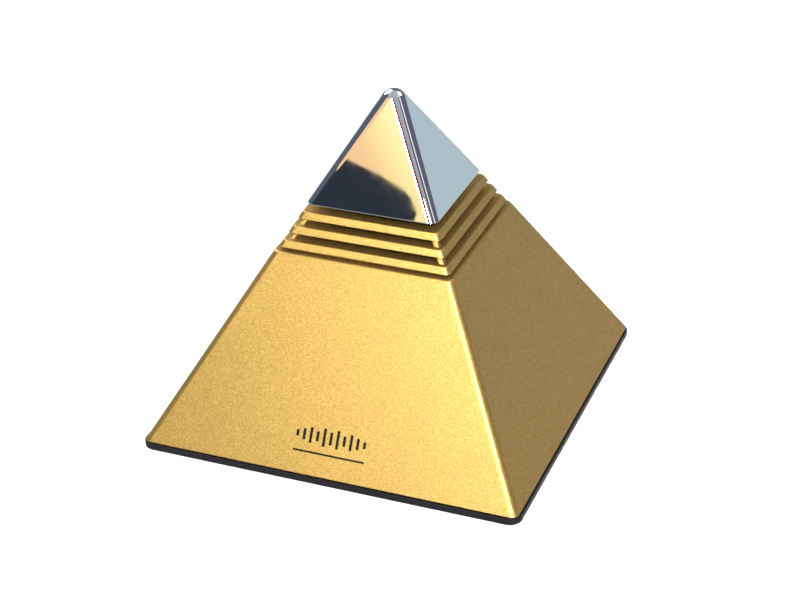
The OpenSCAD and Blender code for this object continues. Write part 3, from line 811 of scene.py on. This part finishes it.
make_tip()


# ---- Printed mark ----


def face_frame():
    """Matrix of the front face: X to the right, Y up the slope, Z outwards, origin at its foot."""
    up = Vector((0, LEAN, 1)).normalized()
    right = Vector((1, 0, 0))
    out = right.cross(up)
    matrix = Matrix((right, up, out)).transposed().to_4x4()
    matrix.translation = Vector((0, -FOOT_HALF, FOOT_Z))
    return matrix


def slab(bm, x, y, width, height, z0, z1):
    """Small flat box, placed by its middle."""
    size = Vector((width, height, z1 - z0))
    place = Vector((x, y, (z0 + z1) / 2))
    for v in bmesh.ops.create_cube(bm, size=1)["verts"]:
        v.co = v.co * size + place


def make_mark():
    """Plain sound-level bars over a thin rule, in thin black ink."""
    bm = bmesh.new()
    ink = (-0.02 * MM, 0.015 * MM)
    pitch, width, tall, bars_at = 1.85 * MM, 0.75 * MM, 4.8 * MM, 10.5 * MM
    rule_at, rule_length, rule_width = bars_at - 4.4 * MM, 19.8 * MM, 0.5 * MM
    levels = [0.35, 0.6, 0.85, 0.55, 1.0, 0.7, 1.0, 0.55, 0.85, 0.6, 0.35]
    for i, level in enumerate(levels):
        x = (i - (len(levels) - 1) / 2) * pitch
        slab(bm, x, bars_at, width, tall * level, *ink)
    slab(bm, 0, rule_at, rule_length, rule_width, *ink)
    piece = from_bmesh("printed_mark", bm, BLACK_INK)
    piece.data.transform(face_frame())
    stand_for(piece, "case", "black_plastic")


make_mark()


# ---- Small parts of the underside ----

SHARP = math.radians(38)
SQUARE = ((-1, -1), (1, -1), (1, 1), (-1, 1))


def circle(radius, z, centre=(0, 0), angles=None):
    """Level circle of points, evenly spaced or at the given bearings."""
    if angles is None:
        angles = [2 * math.pi * i / SMALL_STEPS for i in range(SMALL_STEPS)]
    x, y = centre
    return [(x + radius * math.cos(a), y + radius * math.sin(a), z) for a in angles]


def turned(profile, centre):
    """Rows of a round body from its (radius, z) profile."""
    return [circle(radius, z, centre) for radius, z in profile]


def solid(name, bodies, materials):
    """One object from flat-ended bodies, each a material number and its rows, in millimetres."""
    points, faces, looks = [], [], []
    for look, rows in bodies:
        base, count = len(points), len(rows[0])
        for row in rows:
            points += row
        made = [
            (base + j * count + k, base + j * count + (k + 1) % count,
             base + (j + 1) * count + (k + 1) % count, base + (j + 1) * count + k)
            for j in range(len(rows) - 1) for k in range(count)
        ]
        last = base + (len(rows) - 1) * count
        made.append(tuple(base + k for k in reversed(range(count))))
        made.append(tuple(last + k for k in range(count)))
        faces += made
        looks += [look] * len(made)
    mesh = bpy.data.meshes.new(name)
    mesh.from_pydata([[c * MM for c in p] for p in points], [], faces)
    for material in materials:
        mesh.materials.append(material)
    mesh.polygons.foreach_set("material_index", looks)
    tidy = bmesh.new()
    tidy.from_mesh(mesh)
    bmesh.ops.recalc_face_normals(tidy, faces=tidy.faces)
    tidy.to_mesh(mesh)
    tidy.free()
    mesh.shade_smooth()
    mesh.set_sharp_from_angle(angle=SHARP)
    return placed(name, mesh)


def middle(node):
    """Middle of a CAD node seen from above, in millimetres."""
    corner = (low(node) + high(node)) / 2
    return corner.x / MM, corner.y / MM


def make_key(node):
    """Round key with a dished face and a flange that keeps it in."""
    face, top = low(node).z / MM, high(node).z / MM
    flange = top - 1.2
    dish = [(0.5, 0.22), (1.2, 0.18), (1.9, 0.08), (2.4, 0.01), (2.62, 0), (2.8, 0.07), (2.9, 0.24)]
    profile = [(radius, face + depth) for radius, depth in dish]
    profile += [(2.9, flange), (3.72, flange), (3.8, flange + 0.08), (3.8, top)]
    piece = solid(node + "_face", [(0, turned(profile, middle(node)))], [LOOKS["key_plastic"]])
    stand_for(piece, node, "key_plastic", node)


def make_knob(node, body):
    """Slide switch knob with ribs across its face."""
    face, tip = low(node).z / MM, high(node).z / MM
    x, y = middle(node)
    half, half_y, neck, stem = 2.2, 1.5, tip - 1.3, 1.0
    ribs, pitch, groove, rib_foot, rib_top = 5, 0.92, 0.5, 0.30, 0.16
    outline = [(-half, neck), (-half, face + groove)]
    for i in range(ribs):
        at = (i - (ribs - 1) / 2) * pitch
        outline += [
            (at - rib_foot, face + groove), (at - rib_top, face),
            (at + rib_top, face), (at + rib_foot, face + groove),
        ]
    outline += [(half, face + groove), (half, neck)]
    knob = [[(x + u, y + side, z) for u, z in outline] for side in (-half_y, half_y)]
    post = [[(x + u * stem, y + v * stem, z) for u, v in SQUARE] for z in (neck, tip)]
    piece = solid(node + "_ribbed", [(0, knob), (0, post)], [LOOKS["key_plastic"]])
    stand_for(piece, body, "key_plastic", node)


def make_feet():
    """Rubber feet: an eased rim round a shallow hollow."""
    top = high("rubber_feet").z / MM
    radius = 3.8
    at = high("rubber_feet").x / MM - radius
    profile = [
        (0.6, 0.26), (1.9, 0.26), (2.15, 0.14), (2.3, 0.0), (3.3, 0.0), (3.62, 0.05),
        (radius, 0.24), (radius, top),
    ]
    bodies = [(0, turned(profile, centre)) for centre in four(at)]
    piece = solid("turned_feet", bodies, [LOOKS["foot_rubber"]])
    stand_for(piece, "case", "foot_rubber", "rubber_feet")


def make_screws():
    """Pan-head screws with a cross recess."""
    face, tip = low("case_screws").z / MM, high("case_screws").z / MM
    head_r, head_height, shank_r = 2.0, 1.3, 1.1
    at = high("case_screws").x / MM - head_r
    arm, thick = 1.15, 0.26
    edge = math.degrees(math.atan2(thick, arm))
    quarter = [0, edge, 22, 32, 45, 58, 68, 90 - edge]
    angles = [math.radians(90 * q + a) for q in range(4) for a in quarter]

    def cross(scale, z, centre):
        """Plus-shaped outline, taken at the same bearings as the circles."""
        row = []
        for a in angles:
            c, s = abs(math.cos(a)), abs(math.sin(a))
            along, across = max(c, s), min(c, s)
            r = scale * min(arm / along, thick / across if across > 1e-6 else arm)
            row += circle(r, z, centre, [a])
        return row

    recess = [(0.7, face + 0.75), (1.0, face + 0.02)]
    rounds = [
        (1.3, 0.0), (1.62, 0.06), (1.85, 0.24), (1.97, 0.52), (head_r, 0.85), (head_r, head_height),
    ]
    profile = [(r, face + z) for r, z in rounds]
    profile += [(shank_r, face + head_height), (shank_r, tip - 0.6), (0.5, tip)]
    bodies = []
    for centre in four(at):
        rows = [cross(scale, z, centre) for scale, z in recess]
        rows += [circle(r, z, centre, angles) for r, z in profile]
        bodies.append((0, rows))
    piece = solid("cross_screws", bodies, [LOOKS["plated_steel"]])
    stand_for(piece, "case", "plated_steel", "case_screws")


def make_cell(node, sign):
    """AA cell along X: a sleeve over a steel can with its contact button."""
    y = (low(node).y + high(node).y) / 2 / MM
    z = (low(node).z + high(node).z) / 2 / MM
    positive = (high(node).x if sign > 0 else low(node).x) / MM

    def along(profile):
        """Rows round the cell's axis; distances run back from the contact button."""
        rows = []
        for radius, back in profile:
            x = positive - sign * back
            rows.append([(x, y + u, z + v) for u, v, _ in circle(radius, 0)])
        return rows

    sleeve = [
        (5.9, 1.5), (6.7, 1.5), (7.0, 1.62), (7.1, 1.9),
        (7.1, 50.0), (7.0, 50.25), (6.7, 50.38), (5.9, 50.38),
    ]
    can = [
        (2.4, 0.0), (2.65, 0.08), (2.75, 0.3), (2.75, 1.1), (3.0, 1.3), (5.4, 1.4), (6.2, 1.6),
        (6.2, 50.3), (5.6, 50.5),
    ]
    looks = [battery_jacket(sign), LOOKS["plated_steel"]]
    piece = solid(node + "_cell", [(0, along(sleeve)), (1, along(can))], looks)
    stand_for(piece, "case", "battery_jacket", node)


for key in ("time_key", "alarm_key", "hour_key", "minute_key"):
    make_key(key)
make_knob("alarm_switch_knob", "alarm_knob")
make_knob("chime_switch_knob", "chime_knob")
make_feet()
make_screws()
make_cell("battery_1", 1)
make_cell("battery_2", -1)


# ---- Soft parts, copied from the CAD nodes ----


def soft_copy(node):
    """Copy of a CAD node that stands for it; the node itself is hidden."""
    piece = placed(node + "_soft", nodes[node].data.copy())
    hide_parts(node)
    return piece


def make_squashed(node):
    """Copy of a soft part that rides on the case, with a mesh of its own."""
    piece = soft_copy(node)
    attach(piece, "case")
    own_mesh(piece)


for key in ("time", "alarm", "hour", "minute"):
    dome = key + "_dome"
    make_squashed(dome)
make_squashed("switch_dome")
make_squashed("return_spring")
surround = soft_copy("speaker_surround")
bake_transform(surround)


# ---- Print and display on the underside ----

PLATE_Z = low("base_cover").z / MM
PRINT_DEPTH = 0.015
BOW_STEPS = 12


def bar(u0, v0, u1, v1, width):
    """Straight stroke as a flat polygon."""
    length = math.hypot(u1 - u0, v1 - v0)
    a, b = (v0 - v1) / length * width / 2, (u1 - u0) / length * width / 2
    return [(u0 + a, v0 + b), (u0 - a, v0 - b), (u1 - a, v1 - b), (u1 + a, v1 + b)]


def bow(u, v, radius, start, end, width):
    """Curved stroke as a flat polygon, between two angles in degrees."""
    turn = end - start
    angles = [math.radians(start + turn * i / BOW_STEPS) for i in range(BOW_STEPS + 1)]
    outer, inner = (
        [(u + r * math.cos(a), v + r * math.sin(a)) for a in angles]
        for r in (radius + width / 2, radius - width / 2)
    )
    return outer + inner[::-1]


def hoop(radius, width):
    return [bow(0, 0, radius, 0, 180, width), bow(0, 0, radius, 180, 360, width)]


def flat_print(name, shapes, levels, material, body, slot):
    """Thin marks between two heights: u runs along X and v towards the front edge."""
    bodies = [(0, [[(u, -v, z) for u, v in shape] for z in levels]) for shape in shapes]
    stand_for(solid(name, bodies, [material]), body, slot)


def moved(shapes, u, v):
    return [[(a + u, b + v) for a, b in shape] for shape in shapes]


CLOCK_SIGN = hoop(1.3, 0.26) + [bar(0, 0, 0, 0.85, 0.24), bar(0, 0, 0.6, 0, 0.24)]
BELL_SIGN = [
    bow(0, 0.1, 0.55, 0, 180, 1.1), bar(-1.1, 0.0, 1.1, 0.0, 0.9),
    bar(-1.4, -0.6, 1.4, -0.6, 0.26), bow(0, -0.85, 0.16, 180, 360, 0.3),
]
FAST_SIGN = [
    bar(0, 1, 0.8, 0, 0.26), bar(0, -1, 0.8, 0, 0.26),
    bar(-1, 1, -0.2, 0, 0.26), bar(-1, -1, -0.2, 0, 0.26),
]
SLOW_SIGN = [bar(-0.4, 1, 0.4, 0, 0.26), bar(-0.4, -1, 0.4, 0, 0.26)]
SOUND_SIGN = [
    bar(-1.2, 0, -0.5, 0, 0.9),
    bow(-0.5, 0, 0.9, -45, 45, 0.24), bow(-0.5, 0, 1.6, -45, 45, 0.24),
]
OFF_SIGN = hoop(0.42, 0.2)
ON_SIGN = hoop(0.26, 0.52)
ARROW = [bar(0, 2.2, 0, -1.6, 0.4), bar(0, -2.2, -1.5, -0.5, 0.4), bar(0, -2.2, 1.5, -0.5, 0.4)]
KEY_SIGNS = {
    "time_key": CLOCK_SIGN, "alarm_key": BELL_SIGN, "hour_key": FAST_SIGN, "minute_key": SLOW_SIGN,
}
SWITCH_SIGNS = {"alarm_switch_body": BELL_SIGN, "chime_switch_body": SOUND_SIGN}


def make_signs():
    """Plain signs beside the keys and switches, and the arrow on the door."""
    key_gap, switch_gap, end_gap, arrow_at = 5.9, 4.2, 5.4, -33
    shapes = []
    for node, sign in KEY_SIGNS.items():
        x, y = middle(node)
        shapes += moved(sign, x, -y - key_gap)
    for node, sign in SWITCH_SIGNS.items():
        x, y = middle(node)
        shapes += moved(sign, x, -y - switch_gap)
        shapes += moved(OFF_SIGN, x - end_gap, -y) + moved(ON_SIGN, x + end_gap, -y)
    levels = (PLATE_Z - PRINT_DEPTH, PLATE_Z + PRINT_DEPTH)
    flat_print("underside_signs", shapes, levels, PRINT_WHITE, "case", "black_plastic")
    arrow = moved(ARROW, 0, arrow_at)
    flat_print("door_arrow", arrow, levels, PRINT_WHITE, "battery_door", "black_plastic")


# Strokes of a display digit: top, upper right, lower right, bottom, lower left, upper left
STROKES = [
    ((-1, 2), (1, 2)), ((1, 2), (1, 0)), ((1, 0), (1, -2)), ((-1, -2), (1, -2)),
    ((-1, 0), (-1, -2)), ((-1, 2), (-1, 0)),
]
DIGITS = {1: (1, 2), 0: (0, 1, 2, 3, 4, 5)}


def make_digits():
    """Ten past ten on the display, in strokes under the glass."""
    wide, tall, slant, gap, thick = 2.1, 2.3, 0.10, 0.3, 1.1
    dots_at, dot_v, dot = -0.7, 1.7, 1.0
    x, y = middle("lcd_glass")
    shapes = []
    for digit, at in ((1, -12.2), (0, -5.4), (1, 3.6), (0, 10.4)):
        for stroke in DIGITS[digit]:
            (u0, v0), (u1, v1) = STROKES[stroke]
            u0, v0, u1, v1 = u0 * wide, v0 * tall, u1 * wide, v1 * tall
            length = math.hypot(u1 - u0, v1 - v0)
            du, dv = (u1 - u0) / length * gap, (v1 - v0) / length * gap
            shape = bar(u0 + du, v0 + dv, u1 - du, v1 - dv, thick)
            shapes += moved([[(u + slant * v, v) for u, v in shape]], x + at, -y)
    for v in (-dot_v, dot_v):
        shapes += moved([bar(-dot / 2, v, dot / 2, v, dot)], x + dots_at + slant * v, -y)
    under = low("lcd_glass").z / MM
    levels = (under - 0.06, under - 0.01)
    flat_print("display_digits", shapes, levels, DISPLAY_INK, "case", "lcd_glass")


make_signs()
make_digits()


# ---- Studio ----

FAR = 20.0
NAVY = (0.026, 0.034, 0.048)
CREAM = [
    (0.0, (1.05, 0.66, 0.34)), (0.3, (1.10, 0.89, 0.385)),
    (0.63, (1.12, 1.10, 0.56)), (1.0, (1.15, 1.15, 0.75)),
]
# Colour at each height of a direction, from -1 straight down to 1 straight up
SKY = [
    (-0.70, (0.42, 0.39, 0.36)), (-0.10, (0.75, 0.67, 0.60)), (-0.04, (0.46, 0.57, 0.61)),
    (0.10, (0.46, 0.57, 0.61)), (0.30, (0.16, 0.19, 0.22)), (1.0, (0.12, 0.14, 0.17)),
]
COAT_OUTLINE = [
    (-60, 5), (-21.3, 5), (-21.25, 30.2), (-21.6, 30.55), (-21.9, 30.7), (-22.9, 30.87),
    (-24.1, 30.95), (-60, 32.05),
]


def make_floor():
    """Pale floor that shows only from above, open under the object so that its underside is lit."""
    mesh = bpy.data.meshes.new("floor")
    size, gap = 1.2, FOOT_HALF - 3 * MM
    points = [(sx * half, sy * half, 0) for half in (size, gap) for sx, sy in SQUARE]
    mesh.from_pydata(points, [], [(i, (i + 1) % 4, (i + 1) % 4 + 4, i + 4) for i in range(4)])
    shader = Shader(
        "floor", Base_Color=(0.93, 0.93, 0.94, 1), Roughness=0.9,
        Emission_Color=(1, 1, 1, 1), Emission_Strength=0.52,
    )
    side = shader.add("ShaderNodeNewGeometry")
    through = shader.add("ShaderNodeBsdfTransparent")
    mix = shader.add("ShaderNodeMixShader")
    shader.link(side.outputs["Backfacing"], mix.inputs["Fac"])
    shader.link(shader.base.outputs["BSDF"], mix.inputs[1])
    shader.link(through.outputs["BSDF"], mix.inputs[2])
    shader.link(mix.outputs["Shader"], shader.tree.nodes["Material Output"].inputs["Surface"])
    mesh.materials.append(shader.material)
    floor = placed("floor", mesh)
    floor.visible_glossy = False


def glowing(name, rgb):
    material = bpy.data.materials.new(name)
    material.use_nodes = True
    tree = material.node_tree
    tree.nodes.clear()
    glow = tree.nodes.new("ShaderNodeEmission")
    glow.inputs["Color"].default_value = (*rgb, 1)
    output = tree.nodes.new("ShaderNodeOutputMaterial")
    tree.links.new(glow.outputs["Emission"], output.inputs["Surface"])
    return material


def card(name, outline, distance, rgb):
    """Panel between (azimuth, elevation) corners that shows only in reflections."""
    mesh = bpy.data.meshes.new(name)
    points = [direction(*corner) * distance for corner in outline]
    mesh.from_pydata(points, [], [tuple(range(len(points)))])
    mesh.materials.append(glowing(name, rgb))
    panel = placed(name, mesh)
    panel.visible_camera = panel.visible_diffuse = False
    panel.visible_transmission = panel.visible_shadow = False


def upright_card(name, start, end, rgb):
    """Card from near the horizon to well up, between two azimuths."""
    foot, head = 3, 66
    outline = [(start, foot), (end, foot), (end, head), (start, head)]
    card(name, outline, FAR * 1.2, rgb)


def softbox(name, azimuth, elevation, distance, width, height, watts, rgb):
    """Rectangular light that faces a point inside the object."""
    aim_z = 50 * MM
    data = bpy.data.lights.new(name, "AREA")
    data.shape = "RECTANGLE"
    data.size, data.size_y = width, height
    data.energy = watts
    data.color = rgb
    light = placed(name, data)
    towards = direction(azimuth, elevation)
    light.location = towards * distance + Vector((0, 0, aim_z))
    light.rotation_mode = "QUATERNION"
    light.rotation_quaternion = towards.to_track_quat("Z", "Y")
    light.visible_camera = False


def make_cream_wall():
    """Warm wall seen in the front face of the tip, paler towards its upper right."""
    azimuth, elevation, spread, sideways = -23.8, 31.2, 3.0, 0.9
    distance = FAR * 2
    card("cream_wall", [(-60, 24), (-14, 24), (-14, 40), (-60, 40)], distance, (1, 1, 1))
    tree = bpy.data.materials["cream_wall"].node_tree
    place = tree.nodes.new("ShaderNodeTexCoord")
    slope = tree.nodes.new("ShaderNodeVectorMath")
    slope.operation = "DOT_PRODUCT"
    level = level_right(azimuth)
    rising = direction(azimuth, elevation).cross(level).normalized()
    slope.inputs[1].default_value = (rising + sideways * level) / distance
    remap = tree.nodes.new("ShaderNodeMapRange")
    remap.inputs["From Max"].default_value = math.radians(spread)
    ramp = tree.nodes.new("ShaderNodeValToRGB")
    fill_ramp(ramp, CREAM)
    tree.links.new(place.outputs["Object"], slope.inputs[0])
    tree.links.new(slope.outputs["Value"], remap.inputs["Value"])
    tree.links.new(remap.outputs["Result"], ramp.inputs["Fac"])
    tree.links.new(ramp.outputs["Color"], tree.nodes["Emission"].inputs["Color"])


def make_world():
    """Pale band round the horizon, between a warm table below and a darker ceiling above."""
    world = bpy.data.worlds.new("studio")
    world.use_nodes = True
    tree = world.node_tree
    place = tree.nodes.new("ShaderNodeTexCoord")
    axes = tree.nodes.new("ShaderNodeSeparateXYZ")
    remap = tree.nodes.new("ShaderNodeMapRange")
    remap.inputs["From Min"].default_value = -1
    ramp = tree.nodes.new("ShaderNodeValToRGB")
    fill_ramp(ramp, [((height + 1) / 2, rgb) for height, rgb in SKY])
    tree.links.new(place.outputs["Generated"], axes.inputs[0])
    tree.links.new(axes.outputs["Z"], remap.inputs["Value"])
    tree.links.new(remap.outputs["Result"], ramp.inputs["Fac"])
    tree.links.new(ramp.outputs["Color"], tree.nodes["Background"].inputs["Color"])
    bpy.context.scene.world = world


def make_backdrop():
    """White wall all round and overhead that only the camera sees."""
    mesh = bpy.data.meshes.new("backdrop")
    radius, low_z, high_z = 3.0, -3.5, 4.0
    points = circle(radius, low_z) + circle(radius, high_z)
    steps = SMALL_STEPS
    faces = [(i, (i + 1) % steps, steps + (i + 1) % steps, steps + i) for i in range(steps)]
    faces.append(tuple(range(steps, 2 * steps)))
    mesh.from_pydata(points, [], faces)
    mesh.materials.append(glowing("backdrop", (1, 1, 1)))
    wall = placed("backdrop", mesh)
    wall.visible_diffuse = wall.visible_glossy = False
    wall.visible_transmission = wall.visible_shadow = False


make_floor()
make_world()
make_backdrop()
make_cream_wall()
card("navy_coat", COAT_OUTLINE, FAR, NAVY)
upright_card("red_edge", 3, 20, (0.30, 0.05, 0.04))
upright_card("dark_gap", 20, 48, (0.07, 0.07, 0.10))
upright_card("middle_gap", 50, 84, (0.10, 0.10, 0.13))
upright_card("pale_strip", 84, 94, (1.1, 1.1, 1.1))
upright_card("dark_side", 94, 140, (0.12, 0.12, 0.17))
upright_card("left_wall", -150, -62, (0.10, 0.12, 0.16))
softbox("key", -6, 36, 1.3, 0.12, 0.60, 9.4, (0.95, 0.99, 0.87))
softbox("side", 34, 38, 1.3, 0.12, 0.5, 19, (0.97, 0.97, 0.93))
softbox("top", 0, 88, 1.6, 2.4, 2.4, 6.2, (0.90, 0.96, 1.0))
softbox("rear", 238, 40, 1.3, 0.7, 0.7, 12, (1.0, 0.98, 0.92))
softbox("far_rear", 140, 52, 1.3, 0.7, 0.5, 2.2, (1.0, 0.96, 0.90))
bpy.context.scene.view_settings.view_transform = "Standard"
